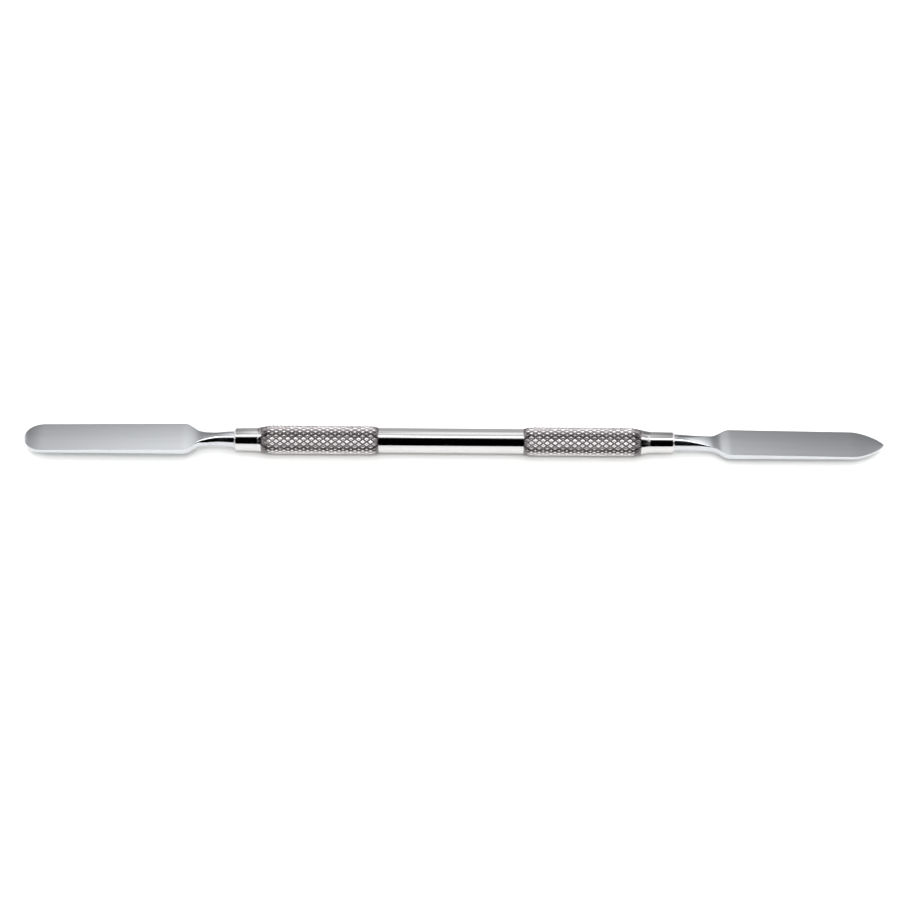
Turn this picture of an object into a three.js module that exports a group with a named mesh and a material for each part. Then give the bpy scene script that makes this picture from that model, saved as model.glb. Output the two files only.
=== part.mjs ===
// A double-ended bench spatula: a knurled handle bar with a forged blade pressed into each end.
// One blade ends in a half round, the other in a spear point.
//
// Frame: millimetres. +X runs from the rounded blade to the pointed one and +Z is up. The origin is on
// the surface that the spatula lies on, under the middle of its length.
import * as THREE from "three";
import { mergeVertices } from "three/addons/utils/BufferGeometryUtils.js";

// Handle bar, from the rounded blade's end to the pointed blade's end.
const HANDLE_LENGTH = 105.4;
const BAR_RADIUS = 3.0; // the polished middle, between the knurled bands
const END_CHAMFER = 0.35;
const END_FACE_RADIUS = 2.25;
const BORE_RADIUS = 1.45;
const BORE_DEPTH = 10.5;
const DRILL_POINT = 0.85; // depth of the cone that the drill leaves at a bore's bottom

// Each knurled band is raised above the bar. A cone turned on the handle leads up to its crests at the
// outer end, and a shorter one comes down to the bar at the inner end. The grooves fade out on both.
const KNURL_LENGTH = 28.2;
const DIAMONDS_ROUND = 16;
const DIAMONDS_LONG = 15;
const CREST_RADIUS = 3.43;
const GROOVE_RADIUS = 3.08;
const BAND_FOOT_RADIUS = 2.98; // where a band's outer end meets the collar
const RUN_OUT = 1.4; // the stretch in which a band's inner end comes down to the bar
const CUT_IN = 0.9; // the stretch in which the grooves reach their full depth, at both ends
const CONE_SLOPE = 0.2; // of the outer cone

// Collars: the plain stretches between a knurled band and the handle's end.
const ROUNDED_COLLAR = { length: 6.4, innerRadius: 2.82, outerRadius: 2.7 };
const POINTED_COLLAR = { length: 7.9, innerRadius: 2.56, outerRadius: 2.48 };

// Blades. Lengths are measured from the joint with the handle, outwards along the blade.
const BLADE_REACH = 50.5; // joint to tip
const TANG_RADIUS = 1.4;
const TANG_LENGTH = 10;
const TANG_CHAMFER = 0.4;
const JOINT_GAP = 0.05;
const EDGE_RADIUS = 0.04; // of the blade's four long edges
const ROUNDED_BLADE = {
  rootRadius: 1.95,
  neck: { halfWidth: 1.66, at: 4.5 },
  spread: { by: 0.3, from: 4.5, to: 9.5 },
  shoulder: { from: 8, to: 12.1 },
  halfWidth: 4.27,
  halfThickness: { atShoulder: 0.75, atTip: 0.4 },
  rise: { atShoulder: 0.1, atTip: -0.15 },
  thinBy: 12,
  roundUntil: 6,
  squareFrom: 11,
  end: { length: 4.5, fullness: 2, bluntness: 2 },
};
const POINTED_BLADE = {
  rootRadius: 2.0,
  neck: { halfWidth: 1.72, at: 6.5 },
  spread: { by: 0.1, from: 6.5, to: 9.5 },
  shoulder: { from: 8.8, to: 13.4 },
  halfWidth: 4.1,
  halfThickness: { atShoulder: 0.72, atTip: 0.33 },
  rise: { atShoulder: -0.55, atTip: -0.75 },
  thinBy: 11.5,
  roundUntil: 2,
  squareFrom: 12.5,
  end: { length: 7.5, fullness: 1.5, bluntness: 1.35 },
};

// How finely the curves are cut into facets.
const ROUND_SIDES = 2 * DIAMONDS_ROUND;
const CORNER_STEPS = 6;
const NECK_RINGS = 18;
const END_RINGS = 9;
const TIP_CUT = 0.995; // share of the end's length at which the tip is cut off flat

const SIDE_ANGLE = (2 * Math.PI) / ROUND_SIDES;
const HALF_DIAMOND = KNURL_LENGTH / (2 * DIAMONDS_LONG);
// The crests straddle the bottom line, so the bar stands on two rows of them.
const AXIS_HEIGHT = CREST_RADIUS * Math.cos(SIDE_ANGLE / 2);

const { lerp, clamp, smoothstep } = THREE.MathUtils;

// A closed solid through a row of rings, closed at each end by a fan to an apex. Each four-sided
// cell is split along the diagonal that lies nearer the axis, which is the groove in a knurl.
function loft(rings, startApex, endApex) {
  const sides = rings[0].length;
  const points = [...rings.flat(), startApex, endApex];
  const fromAxis = points.map((p) => Math.hypot(p.y, p.z));
  const startIndex = points.length - 2;
  const endIndex = points.length - 1;
  const lastRing = (rings.length - 1) * sides;
  const faces = [];
  for (let side = 0; side < sides; side++) {
    const next = (side + 1) % sides;
    for (let ring = 0; ring < lastRing; ring += sides) {
      const [a, b, c, d] = [ring + side, ring + next, ring + sides + next, ring + sides + side];
      if (fromAxis[a] + fromAxis[c] < fromAxis[b] + fromAxis[d]) faces.push([a, b, c], [a, c, d]);
      else faces.push([a, b, d], [b, c, d]);
    }
    faces.push([startIndex, next, side], [endIndex, lastRing + side, lastRing + next]);
  }
  const geometry = new THREE.BufferGeometry().setFromPoints(points).setIndex(faces.flat());
  return withoutEmptyFaces(mergeVertices(geometry, 1e-5));
}

// Corners that meet in one point leave faces with no area, which a closed solid can't hold.
function withoutEmptyFaces(geometry) {
  const index = geometry.getIndex().array;
  const kept = [];
  for (let i = 0; i < index.length; i += 3) {
    const [a, b, c] = index.slice(i, i + 3);
    if (a !== b && b !== c && c !== a) kept.push(a, b, c);
  }
  geometry.setIndex(kept);
  return geometry.toNonIndexed();
}

// A ring about the X axis. radius is a number, or a function of the side's number.
function roundRing(x, radius) {
  return Array.from({ length: ROUND_SIDES }, (_, side) => {
    const r = typeof radius === "number" ? radius : radius(side);
    const angle = (side + 0.5) * SIDE_ANGLE;
    return new THREE.Vector3(x, r * Math.cos(angle), r * Math.sin(angle));
  });
}

// A rectangle with round corners, across the X axis. It is a circle where the corner is the whole of it.
function bladeRing(x, { halfWidth, halfThickness, rise }, corner) {
  const ring = [];
  for (let quarter = 0; quarter < 4; quarter++) {
    const across = quarter === 0 || quarter === 3 ? 1 : -1;
    const up = quarter < 2 ? 1 : -1;
    for (let step = 0; step <= CORNER_STEPS; step++) {
      const angle = ((quarter + step / CORNER_STEPS) * Math.PI) / 2;
      const y = across * (halfWidth - corner) + corner * Math.cos(angle);
      const z = up * (halfThickness - corner) + corner * Math.sin(angle);
      ring.push(new THREE.Vector3(x, y, z + rise));
    }
  }
  return ring;
}

// The rings of one knurled band that starts at x. Crests and grooves alternate from side to side and
// from ring to ring, and shrink gives what is left of a radius near the band's ends.
function knurledBand(start, shrink) {
  const rings = [];
  for (let row = 0; row <= 2 * DIAMONDS_LONG; row++) {
    const x = start + row * HALF_DIAMOND;
    const radius = (side) => ((side + row) % 2 === 0 ? CREST_RADIUS : GROOVE_RADIUS);
    rings.push(roundRing(x, (side) => shrink(x, radius(side))));
  }
  return rings;
}

// One collar's rings, from the band outwards. outwards is 1 towards +X and -1 towards -X.
function collar(handleEnd, outwards, { length, innerRadius, outerRadius }) {
  const bandEnd = handleEnd - outwards * length;
  const coneLength = (BAND_FOOT_RADIUS - innerRadius) / CONE_SLOPE;
  return [
    roundRing(bandEnd + outwards * coneLength, innerRadius),
    roundRing(handleEnd - outwards * END_CHAMFER, outerRadius),
    roundRing(handleEnd, END_FACE_RADIUS),
    roundRing(handleEnd, BORE_RADIUS),
    roundRing(handleEnd - outwards * BORE_DEPTH, BORE_RADIUS),
  ];
}

function handleBar() {
  const end = HANDLE_LENGTH / 2;
  const roundedBand = -end + ROUNDED_COLLAR.length;
  const pointedBand = end - POINTED_COLLAR.length - KNURL_LENGTH;
  const shrunk = (fromOuterEnd, fromInnerEnd, radius) => {
    const outerCone = BAND_FOOT_RADIUS + CONE_SLOPE * fromOuterEnd;
    const innerCone = lerp(BAR_RADIUS, CREST_RADIUS, fromInnerEnd / RUN_OUT);
    const depthShare = Math.min(1, fromOuterEnd / CUT_IN, fromInnerEnd / CUT_IN);
    return Math.min(CREST_RADIUS, outerCone, innerCone) - (CREST_RADIUS - radius) * depthShare;
  };
  const rings = [
    ...collar(-end, -1, ROUNDED_COLLAR).reverse(),
    ...knurledBand(roundedBand, (x, r) => shrunk(x - roundedBand, roundedBand + KNURL_LENGTH - x, r)),
    ...knurledBand(pointedBand, (x, r) => shrunk(pointedBand + KNURL_LENGTH - x, x - pointedBand, r)),
    ...collar(end, 1, POINTED_COLLAR),
  ];
  const drillPoint = end - BORE_DEPTH - DRILL_POINT;
  return loft(rings, new THREE.Vector3(-drillPoint, 0, 0), new THREE.Vector3(drillPoint, 0, 0));
}

// The shank's and the blade's section at a distance from the joint.
function bladeForm(shape, s) {
  const { neck, spread, shoulder, halfThickness, rise, end } = shape;
  const alongBlade = clamp((s - shoulder.to) / (BLADE_REACH - shoulder.to), 0, 1);
  const thin = lerp(halfThickness.atShoulder, halfThickness.atTip, alongBlade);
  const widest = lerp(shape.rootRadius, neck.halfWidth, smoothstep(s, 0, neck.at));
  const flare = spread.by * smoothstep(s, spread.from, spread.to);
  const shoulderGain = shape.halfWidth - neck.halfWidth - spread.by;
  const straight = widest + flare + shoulderGain * smoothstep(s, shoulder.from, shoulder.to);
  const intoEnd = clamp((s - BLADE_REACH + end.length) / end.length, 0, TIP_CUT);
  const rounding = Math.pow(1 - Math.pow(intoEnd, end.fullness), 1 / end.bluntness);
  const offset = rise.atShoulder * smoothstep(s, 0, shoulder.to);
  return {
    halfWidth: straight * rounding,
    halfThickness: lerp(shape.rootRadius, thin, smoothstep(s, 0, shape.thinBy)),
    rise: offset + (rise.atTip - rise.atShoulder) * alongBlade,
  };
}

function cornerOf(shape, s, form) {
  const whole = Math.min(form.halfWidth, form.halfThickness);
  const square = smoothstep(s, shape.roundUntil, shape.squareFrom);
  return lerp(whole, Math.min(EDGE_RADIUS, whole), square);
}

function tangRing(x, radius) {
  return bladeRing(x, { halfWidth: radius, halfThickness: radius, rise: 0 }, radius);
}

// Tang, shank and blade in one piece, pointing along +X from the joint at x = 0.
function forgedBlade(shape) {
  const places = [];
  for (let i = 0; i <= NECK_RINGS; i++) places.push((shape.shoulder.to * i) / NECK_RINGS);
  // The end's rings crowd towards the tip, where the outline turns fastest.
  for (let i = 0; i <= END_RINGS; i++) {
    const share = Math.sin(((i / END_RINGS) * Math.PI) / 2);
    places.push(BLADE_REACH - shape.end.length * (1 - TIP_CUT * share));
  }
  const blade = places.map((s) => {
    const form = bladeForm(shape, s);
    return bladeRing(s === 0 ? JOINT_GAP : s, form, cornerOf(shape, s, form));
  });
  const rings = [
    tangRing(-TANG_LENGTH, TANG_RADIUS - TANG_CHAMFER),
    tangRing(-TANG_LENGTH + TANG_CHAMFER, TANG_RADIUS),
    tangRing(JOINT_GAP, TANG_RADIUS),
    ...blade,
  ];
  const tip = bladeForm(shape, BLADE_REACH);
  const tipX = places[places.length - 1];
  return loft(rings, new THREE.Vector3(-TANG_LENGTH, 0, 0), new THREE.Vector3(tipX, 0, tip.rise));
}

const polishedSteel = new THREE.MeshStandardMaterial({
  color: 0xc9c8cb,
  metalness: 1,
  roughness: 0.12,
});
const satinSteel = new THREE.MeshStandardMaterial({
  color: 0xb9bbc0,
  metalness: 1,
  roughness: 0.32,
});

function part(name, geometry, material) {
  const mesh = new THREE.Mesh(geometry, material);
  mesh.name = name;
  geometry.computeVertexNormals();
  return mesh;
}

const handle = part("handle", handleBar(), polishedSteel);

const roundedBlade = part("rounded_blade", forgedBlade(ROUNDED_BLADE), satinSteel);
roundedBlade.position.x = -HANDLE_LENGTH / 2;
roundedBlade.rotation.z = Math.PI;

const pointedBlade = part("pointed_blade", forgedBlade(POINTED_BLADE), satinSteel);
pointedBlade.position.x = HANDLE_LENGTH / 2;

const spatula = new THREE.Group();
spatula.add(handle, roundedBlade, pointedBlade);
spatula.position.z = AXIS_HEIGHT;

export default spatula;
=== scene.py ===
import math

import bpy
import numpy as np
from mathutils import Matrix, Vector


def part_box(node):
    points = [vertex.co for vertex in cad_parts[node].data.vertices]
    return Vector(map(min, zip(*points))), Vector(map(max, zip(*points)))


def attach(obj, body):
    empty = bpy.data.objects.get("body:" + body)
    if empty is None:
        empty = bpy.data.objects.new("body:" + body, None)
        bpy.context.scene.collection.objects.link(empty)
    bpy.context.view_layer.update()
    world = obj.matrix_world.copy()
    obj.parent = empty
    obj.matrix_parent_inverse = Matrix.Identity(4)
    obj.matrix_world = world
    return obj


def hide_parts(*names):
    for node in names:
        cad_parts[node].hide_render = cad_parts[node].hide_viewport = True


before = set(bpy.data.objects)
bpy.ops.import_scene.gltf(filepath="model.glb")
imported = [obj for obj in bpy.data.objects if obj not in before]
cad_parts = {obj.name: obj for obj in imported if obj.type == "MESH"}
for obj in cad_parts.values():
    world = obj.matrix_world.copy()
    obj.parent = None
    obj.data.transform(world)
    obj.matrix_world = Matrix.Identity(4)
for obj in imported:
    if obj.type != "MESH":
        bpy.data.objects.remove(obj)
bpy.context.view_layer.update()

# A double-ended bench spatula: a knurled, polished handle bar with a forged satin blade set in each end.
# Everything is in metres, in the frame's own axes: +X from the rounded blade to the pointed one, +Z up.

MM = 0.001

# ---------------------------------------------------------------- sizes

HANDLE_LOW, HANDLE_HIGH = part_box("handle")
AXIS_HEIGHT = (HANDLE_LOW.z + HANDLE_HIGH.z) / 2

DIAMONDS_ROUND = 16
DIAMONDS_LONG = 15
KNURL_SIDE = math.pi / DIAMONDS_ROUND  # the angle from a crest to the next groove
CREST_RADIUS = (HANDLE_HIGH.y - HANDLE_LOW.y) / 2 / math.cos(KNURL_SIDE / 2)
GROOVE_RADIUS = 3.08 * MM
BAND_FOOT_RADIUS = 2.98 * MM  # where a band's outer end meets the collar
BAR_RADIUS = 3.0 * MM
KNURL_LENGTH = 28.2 * MM
RUN_OUT = 1.4 * MM  # the stretch in which a band's inner end comes down to the bar
CUT_IN = 0.9 * MM  # the stretch in which the grooves reach their full depth, at both ends
CONE_SLOPE = 0.2  # of the cone turned on a band's outer end
END_CHAMFER = 0.35 * MM
END_FACE_RADIUS = 2.25 * MM
BORE_RADIUS = 1.45 * MM
BORE_DEPTH = 10.5 * MM
DRILL_POINT = 0.85 * MM
CREST_SPREAD = 0.25  # how much lower the lowest crest is than the highest, as a share of the height
EDGE_BREAK = 0.06 * MM  # how far a turned edge is rounded off

ROUNDED_COLLAR = dict(length=6.4 * MM, inner=2.82 * MM, outer=2.7 * MM)
POINTED_COLLAR = dict(length=7.9 * MM, inner=2.56 * MM, outer=2.48 * MM)

# Lengths along a blade are measured from its joint with the handle, outwards.
TANG_RADIUS = 1.4 * MM
TANG_LENGTH = 10 * MM
TANG_CHAMFER = 0.4 * MM
JOINT_GAP = 0.05 * MM
BLADE_EDGE = 0.04 * MM
TIP_CUT = 0.995  # share of the end's length at which the tip is cut off flat

ROUNDED_BLADE = dict(
    root=1.95 * MM,
    neck=(1.66 * MM, 4.5 * MM),
    spread=(0.3 * MM, 4.5 * MM, 9.5 * MM),
    shoulder=(8 * MM, 12.1 * MM),
    half_thickness=(0.75 * MM, 0.4 * MM),
    rise=(0.1 * MM, -0.15 * MM),
    thin_by=12 * MM,
    squaring=(6 * MM, 11 * MM),
    end_length=4.5 * MM,
    end_powers=(2, 2),
)
POINTED_BLADE = dict(
    root=2.0 * MM,
    neck=(1.72 * MM, 6.5 * MM),
    spread=(0.1 * MM, 6.5 * MM, 9.5 * MM),
    shoulder=(8.8 * MM, 13.4 * MM),
    half_thickness=(0.72 * MM, 0.33 * MM),
    rise=(-0.55 * MM, -0.75 * MM),
    thin_by=11.5 * MM,
    squaring=(2 * MM, 12.5 * MM),
    end_length=7.5 * MM,
    end_powers=(1.5, 1.35),
)

# How finely the curves are cut.
KNURL_CUTS = 5  # mesh steps from a crest to the next groove
SIDES = 2 * DIAMONDS_ROUND * KNURL_CUTS
CORNER_STEPS = 8
NECK_RINGS = 72
BLADE_RINGS = 36
END_RINGS = 28


def mix(a, b, share):
    return a + (b - a) * share


def ease(value, start, stop):
    share = np.clip((value - start) / (stop - start), 0, 1)
    return share * share * (3 - 2 * share)


# ---------------------------------------------------------------- camera

CAMERA_LENS = 100
CAMERA_SENSOR = 36
CAMERA_ELEVATION = math.radians(47)
CAMERA_ROLL = math.radians(0.42)
FRAME_WIDTH = 0.2160  # what the picture takes in, across, at the spatula
AIM_RIGHT = -1.0 * MM
AIM_UP = -2.2 * MM


def add_camera():
    """A long lens in front of the spatula, looking down on it."""
    camera = bpy.data.objects.new("camera", bpy.data.cameras.new("camera"))
    camera.data.lens = CAMERA_LENS
    camera.data.sensor_width = CAMERA_SENSOR
    back = Vector((0, -math.cos(CAMERA_ELEVATION), math.sin(CAMERA_ELEVATION)))
    turn = (-back).to_track_quat("-Z", "Y").to_matrix() @ Matrix.Rotation(CAMERA_ROLL, 3, "Z")
    distance = FRAME_WIDTH * CAMERA_LENS / CAMERA_SENSOR
    aim = Vector((0, 0, AXIS_HEIGHT)) + turn @ Vector((AIM_RIGHT, AIM_UP, 0))
    camera.matrix_world = Matrix.Translation(aim + back * distance) @ turn.to_4x4()
    camera.data.clip_start = 0.05
    camera.data.clip_end = 20
    bpy.context.scene.collection.objects.link(camera)
    bpy.context.scene.camera = camera


# ---------------------------------------------------------------- shader maths


class Number:
    """A socket that holds a number. Arithmetic on it adds the Math nodes."""

    def __init__(self, shader, socket):
        self.shader = shader
        self.socket = socket

    def maths(self, operation, *values):
        return self.shader.add("ShaderNodeMath", dict(operation=operation), *values)

    def __add__(self, other):
        return self.maths("ADD", self, other)

    def __sub__(self, other):
        return self.maths("SUBTRACT", self, other)

    def __rsub__(self, other):
        return self.maths("SUBTRACT", other, self)

    def __mul__(self, other):
        return self.maths("MULTIPLY", self, other)

    def __neg__(self):
        return self * -1

    def __pow__(self, other):
        return self.maths("POWER", self, other)

    def angle_over(self, other):
        return self.maths("ARCTAN2", self, other)

    def size(self):
        return self.maths("ABSOLUTE", self)

    def eased(self, start, stop):
        """0 at start and 1 at stop, with a soft beginning and end."""
        settings = dict(interpolation_type="SMOOTHSTEP")
        return self.shader.add("ShaderNodeMapRange", settings, self, start, stop)

    __radd__ = __add__
    __rmul__ = __mul__


class Shader:
    """The node tree of one finish, or of the studio around the bench."""

    def __init__(self, owner):
        owner.use_nodes = True
        self.nodes = owner.node_tree.nodes
        self.links = owner.node_tree.links
        self.nodes.clear()

    def add(self, kind, settings=None, *values, sockets=None, output=0, **named):
        """Adds a node. Its settings come first, then the values or links of its sockets.

        Sockets are given in order, by number in the sockets dictionary, or by name.
        """
        node = self.nodes.new(kind)
        for name, value in (settings or {}).items():
            setattr(node, name, value)
        wanted = [*enumerate(values), *(sockets or {}).items(), *named.items()]
        for name, value in wanted:
            socket = node.inputs[name.replace("_", " ") if isinstance(name, str) else name]
            if isinstance(value, Number):
                self.links.new(value.socket, socket)
            else:
                socket.default_value = value
        if not node.outputs:
            return node
        return Number(self, node.outputs[output])

    def outputs(self, number):
        """The other outputs of the node that a socket belongs to."""
        return [Number(self, socket) for socket in number.socket.node.outputs]

    def place(self):
        """A point's x, y and z in the frame's axes."""
        point = self.add("ShaderNodeTexCoord", output="Object")
        return self.outputs(self.add("ShaderNodeSeparateXYZ", None, point))

    def point(self, x, y, z):
        return self.add("ShaderNodeCombineXYZ", None, x, y, z)

    def noise(self, point, detail=3.0, roughness=0.5):
        texture = dict(Vector=point, Scale=1.0, Detail=detail, Roughness=roughness)
        return self.add("ShaderNodeTexNoise", dict(noise_dimensions="3D"), **texture)

    def blend_colours(self, share, first, second):
        colours = {0: share, 6: first, 7: second}
        return self.add("ShaderNodeMix", dict(data_type="RGBA"), sockets=colours, output=2)


# ---------------------------------------------------------------- finishes


def steel(name, finish):
    """A metal whose base colour, roughness and normal come from finish(shader)."""
    material = bpy.data.materials.new(name)
    shader = Shader(material)
    colour, roughness, normal = finish(shader)
    metal = shader.add(
        "ShaderNodeBsdfPrincipled",
        None,
        Base_Color=colour,
        Metallic=1.0,
        Roughness=roughness,
        Normal=normal,
    )
    shader.add("ShaderNodeOutputMaterial", None, Surface=metal)
    return material


def turned_finish(shader):
    """Mirror-polished bar stock, with the faint rings that the polishing wheel leaves."""
    x, y, z = shader.place()
    rings = shader.noise(shader.point(x * 9000, y * 120, z * 120), detail=2)
    haze = shader.noise(shader.point(x * 260, y * 420, z * 420), detail=3)
    colour = shader.blend_colours(haze, (0.70, 0.685, 0.69, 1), (0.74, 0.73, 0.735, 1))
    roughness = 0.045 + haze * 0.05 + rings * 0.03
    normal = shader.add("ShaderNodeBump", None, Strength=0.05, Distance=0.00001, Height=rings)
    return colour, roughness, normal


def knurled_finish(shader):
    """Rolled diamonds: a warm dark grey painted down in the grooves as shade, lighter crests, and a slightly
    rougher, grainy surface.
    """
    x, y, z = shader.place()
    height = z - AXIS_HEIGHT
    radius = (y * y + height * height) ** 0.5
    crest = radius.eased(GROOVE_RADIUS, CREST_RADIUS)
    grain = shader.noise(shader.point(x * 2600, y * 2600, z * 2600), detail=4, roughness=0.6)
    # Painted shade: the colour darkens with depth into the grooves, plus random grain in the tone.
    depth = crest * 0.95 + grain * 0.35
    colour = shader.blend_colours(depth, (0.09, 0.075, 0.078, 1), (0.86, 0.82, 0.83, 1))
    roughness = 0.24 - crest * 0.06 + grain * 0.08
    normal = shader.add("ShaderNodeBump", None, Strength=0.6, Distance=0.00003, Height=grain)
    return colour, roughness, normal


def satin_finish(shader):
    """Smoothly polished steel, with faint lengthwise streaks and soft cloudy patches."""
    x, y, z = shader.place()
    brushed = shader.noise(shader.point(x * 50, y * 5000, z * 5000), detail=3, roughness=0.6)
    streaks = shader.noise(shader.point(x * 18, y * 700, z * 700), detail=2)
    cloud = shader.noise(shader.point(x * 60, y * 120, z * 120), detail=2)
    colour = shader.blend_colours(streaks, (0.63, 0.645, 0.67, 1), (0.675, 0.69, 0.72, 1))
    roughness = 0.10 + brushed * 0.03 + cloud * 0.04
    height = brushed * 0.5 + streaks * 0.5
    normal = shader.add("ShaderNodeBump", None, Strength=0.035, Distance=0.00001, Height=height)
    return colour, roughness, normal


# ---------------------------------------------------------------- meshes


def skin(name, rings, first_apex, last_apex, materials, sharp_over=25):
    """A closed mesh through rings of points. A fan to an apex closes each end.

    Each four-sided cell is split along the diagonal that lies nearer the axis, which is the groove
    in a knurl.
    """
    rings = np.asarray(rings)
    count, sides = rings.shape[:2]
    points = np.vstack([rings.reshape(-1, 3), first_apex, last_apex])
    depth = np.hypot(points[:, 1], points[:, 2])
    here = np.arange(sides)
    onward = (here + 1) % sides
    start = sides * np.arange(count - 1)[:, None]
    corners = start + here, start + onward, start + sides + onward, start + sides + here
    a, b, c, d = (np.ravel(corner) for corner in corners)
    along_ac = depth[a] + depth[c] < depth[b] + depth[d]
    first = np.where(along_ac, [a, b, c], [a, b, d])
    second = np.where(along_ac, [a, c, d], [b, c, d])
    last_ring = sides * (count - 1)
    start_fan = [np.full(sides, len(points) - 2), onward, here]
    end_fan = [np.full(sides, len(points) - 1), last_ring + here, last_ring + onward]
    faces = np.hstack([first, second, start_fan, end_fan]).T
    points = points + [0, 0, AXIS_HEIGHT]

    mesh = bpy.data.meshes.new(name)
    mesh.from_pydata(points.tolist(), [], faces.tolist())
    for material in materials:
        mesh.materials.append(material)
    mesh.validate()
    mesh.shade_smooth()
    mesh.set_sharp_from_angle(angle=math.radians(sharp_over))
    piece = bpy.data.objects.new(name, mesh)
    bpy.context.scene.collection.objects.link(piece)
    return piece


# How much lower each crest is, as a share of the most: few are much lower. The seed is fixed.
CREST_DROPS = np.random.default_rng(7).random((2 * DIAMONDS_LONG + 3, 2 * DIAMONDS_ROUND)) ** 2
SIDE_ANGLES = (np.arange(SIDES) / KNURL_CUTS + 0.5) * KNURL_SIDE


def round_ring(x, radius):
    """A ring about the handle's axis. radius is one number, or one for each side."""
    radius = np.broadcast_to(radius, SIDES)
    return np.column_stack([np.full(SIDES, x), radius * np.cos(SIDE_ANGLES), radius * np.sin(SIDE_ANGLES)])


def diamond(row, side):
    """Height of the knurl's pyramids, 0 in the sharp grooves and up to 1 on the worn, uneven crests."""
    lean = [(side + row) / 2, (side - row) / 2]
    rising, falling = crest = np.round(lean).astype(int)
    height = np.minimum(*(1 - 2 * np.abs(lean - crest)))
    drop = CREST_SPREAD * CREST_DROPS[rising - falling, (rising + falling) % (2 * DIAMONDS_ROUND)]
    return np.sin(height * math.pi / 2) * (1 - drop)


def knurled_band(start, shrink):
    """The rings of one band. shrink gives what is left of a radius near the band's ends."""
    rings = []
    side = np.arange(SIDES) / KNURL_CUTS
    steps = 2 * DIAMONDS_LONG * KNURL_CUTS
    for step in range(steps + 1):
        x = start + KNURL_LENGTH * step / steps
        height = diamond(step / KNURL_CUTS, side)
        rings.append(round_ring(x, shrink(x, mix(GROOVE_RADIUS, CREST_RADIUS, height))))
    return rings


def rounded_corners(profile, size, steps=4):
    """A profile with each inner corner replaced by a small curve."""
    profile = [np.array(p, float) for p in profile]
    curved = [profile[0]]
    for before, corner, after in zip(profile, profile[1:], profile[2:]):
        reach = [min(size, 0.45 * np.linalg.norm(end - corner)) for end in (before, after)]
        ends = [
            corner + (end - corner) / np.linalg.norm(end - corner) * far
            for end, far in zip((before, after), reach)
        ]
        for share in np.linspace(0, 1, steps):
            curved.append((1 - share) ** 2 * ends[0] + 2 * share * (1 - share) * corner + share**2 * ends[1])
    return [*curved, profile[-1]]


def collar(handle_end, outwards, length, inner, outer):
    """One collar's rings, from the band outwards, and on into the bore."""
    band_end = handle_end - outwards * length
    cone_length = (BAND_FOOT_RADIUS - inner) / CONE_SLOPE
    profile = [
        (band_end, BAND_FOOT_RADIUS),
        (band_end + outwards * cone_length, inner),
        (handle_end - outwards * END_CHAMFER, outer),
        (handle_end, END_FACE_RADIUS),
        (handle_end, BORE_RADIUS),
        (handle_end - outwards * BORE_DEPTH, BORE_RADIUS),
    ]
    return [round_ring(x, radius) for x, radius in rounded_corners(profile, EDGE_BREAK)[1:]]


def build_handle(polished, knurled):
    low_end, high_end = HANDLE_LOW.x, HANDLE_HIGH.x
    rounded_band = low_end + ROUNDED_COLLAR["length"]
    pointed_band = high_end - POINTED_COLLAR["length"] - KNURL_LENGTH

    def shrunk(from_outer, from_inner, radius):
        cone = BAND_FOOT_RADIUS + CONE_SLOPE * from_outer
        inner_end = mix(BAR_RADIUS, CREST_RADIUS, from_inner / RUN_OUT)
        depth_share = min(1, from_outer / CUT_IN, from_inner / CUT_IN)
        return min(CREST_RADIUS, cone, inner_end) - (CREST_RADIUS - radius) * depth_share

    rounded_end = rounded_band + KNURL_LENGTH
    pointed_end = pointed_band + KNURL_LENGTH
    rings = [
        *collar(low_end, -1, **ROUNDED_COLLAR)[::-1],
        *knurled_band(rounded_band, lambda x, r: shrunk(x - rounded_band, rounded_end - x, r)),
        *knurled_band(pointed_band, lambda x, r: shrunk(pointed_end - x, x - pointed_band, r)),
        *collar(high_end, 1, **POINTED_COLLAR),
    ]
    drill_point = BORE_DEPTH + DRILL_POINT
    apexes = (low_end + drill_point, 0, 0), (high_end - drill_point, 0, 0)
    piece = skin("knurled_handle", rings, *apexes, [polished, knurled])
    for face in piece.data.polygons:
        x = face.center.x
        face.material_index = int(rounded_band < x < rounded_end or pointed_band < x < pointed_end)
    return piece


def blade_section(shape, reach, half_width, s):
    """Half width, half thickness, rise and corner radius of a blade at a distance from its joint."""
    neck_width, neck_at = shape["neck"]
    spread, spread_from, spread_to = shape["spread"]
    shoulder_from, shoulder_to = shape["shoulder"]
    along = np.clip((s - shoulder_to) / (reach - shoulder_to), 0, 1)
    width = mix(shape["root"], neck_width, ease(s, 0, neck_at))
    width += spread * ease(s, spread_from, spread_to)
    width += (half_width - neck_width - spread) * ease(s, shoulder_from, shoulder_to)
    fullness, bluntness = shape["end_powers"]
    into_end = np.clip((s - reach + shape["end_length"]) / shape["end_length"], 0, TIP_CUT)
    width *= (1 - into_end**fullness) ** (1 / bluntness)
    thickness = mix(shape["root"], mix(*shape["half_thickness"], along), ease(s, 0, shape["thin_by"]))
    rise_at_shoulder, rise_at_tip = shape["rise"]
    rise = rise_at_shoulder * ease(s, 0, shoulder_to) + (rise_at_tip - rise_at_shoulder) * along
    whole = min(width, thickness)
    corner = mix(whole, min(BLADE_EDGE, whole), ease(s, *shape["squaring"]))
    return width, thickness, rise, corner


def blade_ring(x, half_width, half_thickness, rise, corner):
    """A rectangle with round corners, across the blade."""
    ring = []
    for quarter, (across, up) in enumerate([(1, 1), (-1, 1), (-1, -1), (1, -1)]):
        for angle in (quarter + np.linspace(0, 1, CORNER_STEPS + 1)) * math.pi / 2:
            y = across * (half_width - corner) + corner * math.cos(angle)
            z = up * (half_thickness - corner) + corner * math.sin(angle)
            ring.append((x, y, z + rise))
    return ring


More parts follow.
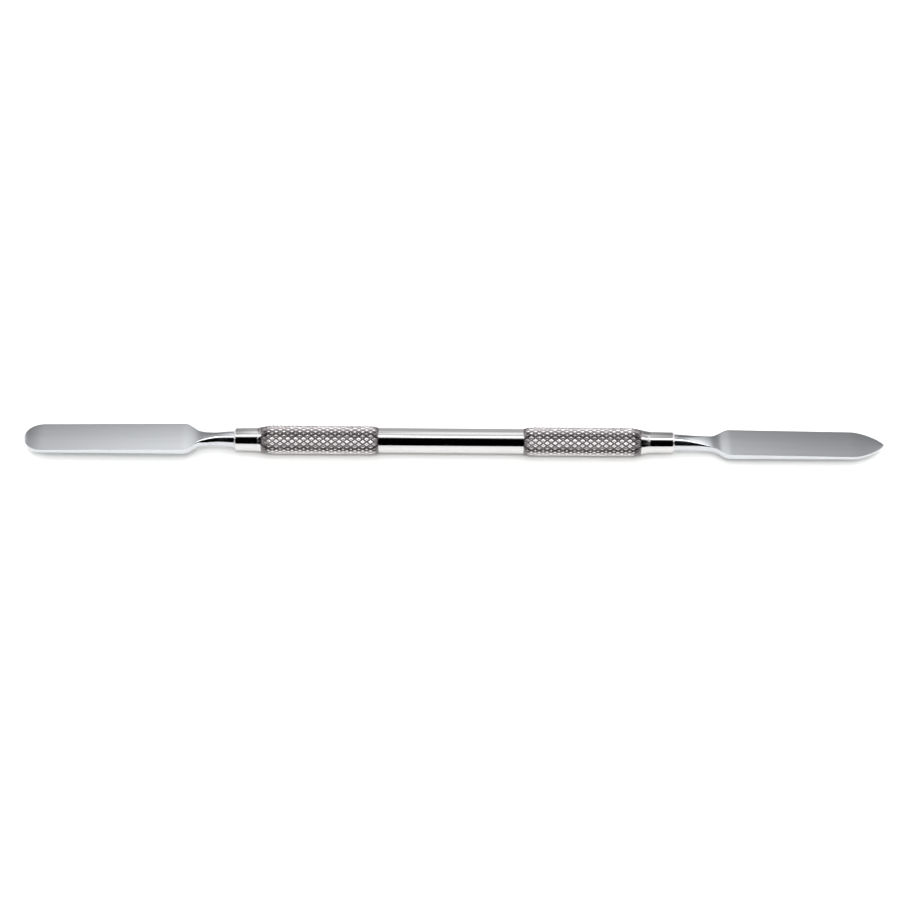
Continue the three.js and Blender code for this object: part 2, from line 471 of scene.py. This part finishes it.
def build_blade(name, node, joint, tip, shape, material):
    """Tang, shank and blade in one piece, from the joint's x to the tip's."""
    low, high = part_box(node)
    half_width = (high.y - low.y) / 2
    outwards = math.copysign(1, tip - joint)
    reach = abs(tip - joint) + (1 - TIP_CUT) * shape["end_length"]
    straight_from = shape["shoulder"][1]
    straight_to = reach - shape["end_length"]
    turn = np.linspace(0, math.pi / 2, END_RINGS + 1)
    places = np.concatenate([
        np.linspace(0, straight_from, NECK_RINGS, endpoint=False),
        np.linspace(straight_from, straight_to, BLADE_RINGS, endpoint=False),
        reach - shape["end_length"] * (1 - TIP_CUT * np.sin(turn)),
    ])
    tang = [
        (-TANG_LENGTH, TANG_RADIUS - TANG_CHAMFER),
        (TANG_CHAMFER - TANG_LENGTH, TANG_RADIUS),
        (JOINT_GAP, TANG_RADIUS),
    ]
    rings = [blade_ring(x, radius, radius, 0, radius) for x, radius in tang]
    for s in places:
        rings.append(blade_ring(max(s, JOINT_GAP), *blade_section(shape, reach, half_width, s)))
    rings = np.array(rings) * (outwards, outwards, 1) + (joint, 0, 0)
    tip_rise = blade_section(shape, reach, half_width, reach)[2]
    apexes = (joint - outwards * TANG_LENGTH, 0, 0), (tip, 0, tip_rise)
    return skin(name, rings, *apexes, [material])


# ---------------------------------------------------------------- bench and light

BENCH_REACH = 4.0  # to each side and to the front
BENCH_GLOW = 0.15
BENCH_DROP = 0.02 * MM  # how far it is under the lowest crest
BENCH_BACK = 12 * MM  # it ends close behind the spatula, so the steel mirrors the grey wall there


def floor_finish():
    """White acrylic that glows a little, as on a light table."""
    material = bpy.data.materials.new("white_bench")
    shader = Shader(material)
    x, y, z = shader.place()
    mottle = shader.noise(shader.point(x * 30, y * 30, z * 30), detail=2)
    colour = shader.blend_colours(mottle, (0.86, 0.86, 0.86, 1), (0.88, 0.88, 0.88, 1))
    surface = shader.add(
        "ShaderNodeBsdfPrincipled",
        None,
        Base_Color=colour,
        Roughness=0.35,
        Specular_IOR_Level=0.4,
        Emission_Color=(0.98, 1.0, 0.94, 1),
        Emission_Strength=BENCH_GLOW,
    )
    shader.add("ShaderNodeOutputMaterial", None, Surface=surface)
    return material


def build_bench():
    mesh = bpy.data.meshes.new("bench")
    low, high, back = -BENCH_REACH, BENCH_REACH, BENCH_BACK
    corners = [(low, low, 0), (high, low, 0), (high, back, 0), (low, back, 0)]
    mesh.from_pydata(corners, [], [(0, 1, 2, 3)])
    mesh.materials.append(floor_finish())
    bench = bpy.data.objects.new("bench", mesh)
    bench.location.z = -BENCH_DROP
    bpy.context.scene.collection.objects.link(bench)


# The studio from the front horizon, over the top, to the back one: from and to which angle its light
# changes, and by how much. It is dark in front, where the camera stands, then come a bright strip
# overhead, a softer panel and a grey wall.
STUDIO_STEPS = [(65, 71, 0.6), (80, 83, 6.4), (87, 90, -6.16), (103, 114, 0.38), (124, 146, -0.65)]
# The panel and the wall fade towards the spatula's two ends. Widths are parts of a direction's length.
FADE_CENTRE = -0.03
FADE_ACROSS = (0.06, 0.23)
FADE_CLIMB = (88, 112)
FADE_SHARE = 0.6
# The same for both sides, where it is dim in front and has a softer panel overhead, towards the back.
SIDES_ACROSS = (0.28, 0.45)
SIDE_STEPS = [(46, 60, 0.83), (90, 104, 0.9), (130, 142, -0.9)]
SIDES_DIM = 0.12
SIDES_BELOW = 0.95
# Under the horizon, where the bench doesn't reach.
WALL_LIGHT = sum(change for start, stop, change in STUDIO_STEPS)
BELOW_LIGHT = 1.2
SEEN_LIGHT = 1.1  # the plain white that the camera sees past the bench
LAMP_LEAN = math.radians(29)  # from straight overhead, towards the front
LAMP_SPREAD = math.radians(22)
LAMP_LIGHT = 1.6


def light_in_steps(climb, steps):
    """What the steps add up to at an angle of climb from the front horizon, in degrees."""
    return sum(climb.eased(start, stop) * change for start, stop, change in steps)


def light_studio():
    """A bright strip and a soft panel overhead, a grey wall behind, and darkness in front."""
    world = bpy.data.worlds.new("studio")
    bpy.context.scene.world = world
    shader = Shader(world)
    direction = shader.add("ShaderNodeTexCoord", output="Generated")
    x, y, z = shader.outputs(shader.add("ShaderNodeSeparateXYZ", None, direction))
    climb = z.angle_over(-y) * math.degrees(1)
    light = light_in_steps(climb, STUDIO_STEPS)
    aside = (x - FADE_CENTRE).size()
    fade = aside.eased(*FADE_ACROSS) * climb.eased(*FADE_CLIMB)
    light = light * (1 - fade * FADE_SHARE)
    below = 1 - z.eased(-0.04, 0.0)
    behind = y.eased(-0.01, 0.01)
    beneath = behind * WALL_LIGHT + (1 - behind) * BELOW_LIGHT
    light = light * (1 - below) + below * beneath
    sides = x.size().eased(*SIDES_ACROSS) * (1 - below * (1 - behind))
    side_light = light_in_steps(climb, SIDE_STEPS) + SIDES_DIM
    side_light = side_light * (1 - below) + below * SIDES_BELOW
    light = light * (1 - sides) + side_light * sides
    seen = shader.add("ShaderNodeLightPath", output="Is Camera Ray")
    strength = light * (1 - seen) + seen * SEEN_LIGHT
    background = shader.add("ShaderNodeBackground", None, Color=(1, 1, 1, 1), Strength=strength)
    shader.add("ShaderNodeOutputWorld", None, Surface=background)
    bpy.context.scene.view_settings.view_transform = "Standard"


def hang_lamp():
    """The soft lamp that casts the shadow. The steel mirrors the studio, and not this lamp."""
    lamp = bpy.data.objects.new("lamp", bpy.data.lights.new("lamp", "SUN"))
    lamp.data.energy = LAMP_LIGHT
    lamp.data.angle = LAMP_SPREAD
    lamp.rotation_euler.x = LAMP_LEAN
    lamp.visible_glossy = False
    bpy.context.scene.collection.objects.link(lamp)


add_camera()
build_bench()
light_studio()
hang_lamp()

polished_steel = steel("polished_steel", turned_finish)
knurled_steel = steel("knurled_steel", knurled_finish)
satin_steel = steel("satin_steel", satin_finish)

handle = build_handle(polished_steel, knurled_steel)
rounded_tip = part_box("rounded_blade")[0].x
pointed_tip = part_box("pointed_blade")[1].x
rounded = build_blade(
    "round_ended_blade", "rounded_blade", HANDLE_LOW.x, rounded_tip, ROUNDED_BLADE, satin_steel
)
pointed = build_blade(
    "spear_pointed_blade", "pointed_blade", HANDLE_HIGH.x, pointed_tip, POINTED_BLADE, satin_steel
)

for piece, node, slot in [
    (handle, "handle", "polished_steel"),
    (rounded, "rounded_blade", "satin_steel"),
    (pointed, "pointed_blade", "satin_steel"),
]:
    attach(piece, "root")
    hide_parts(node)
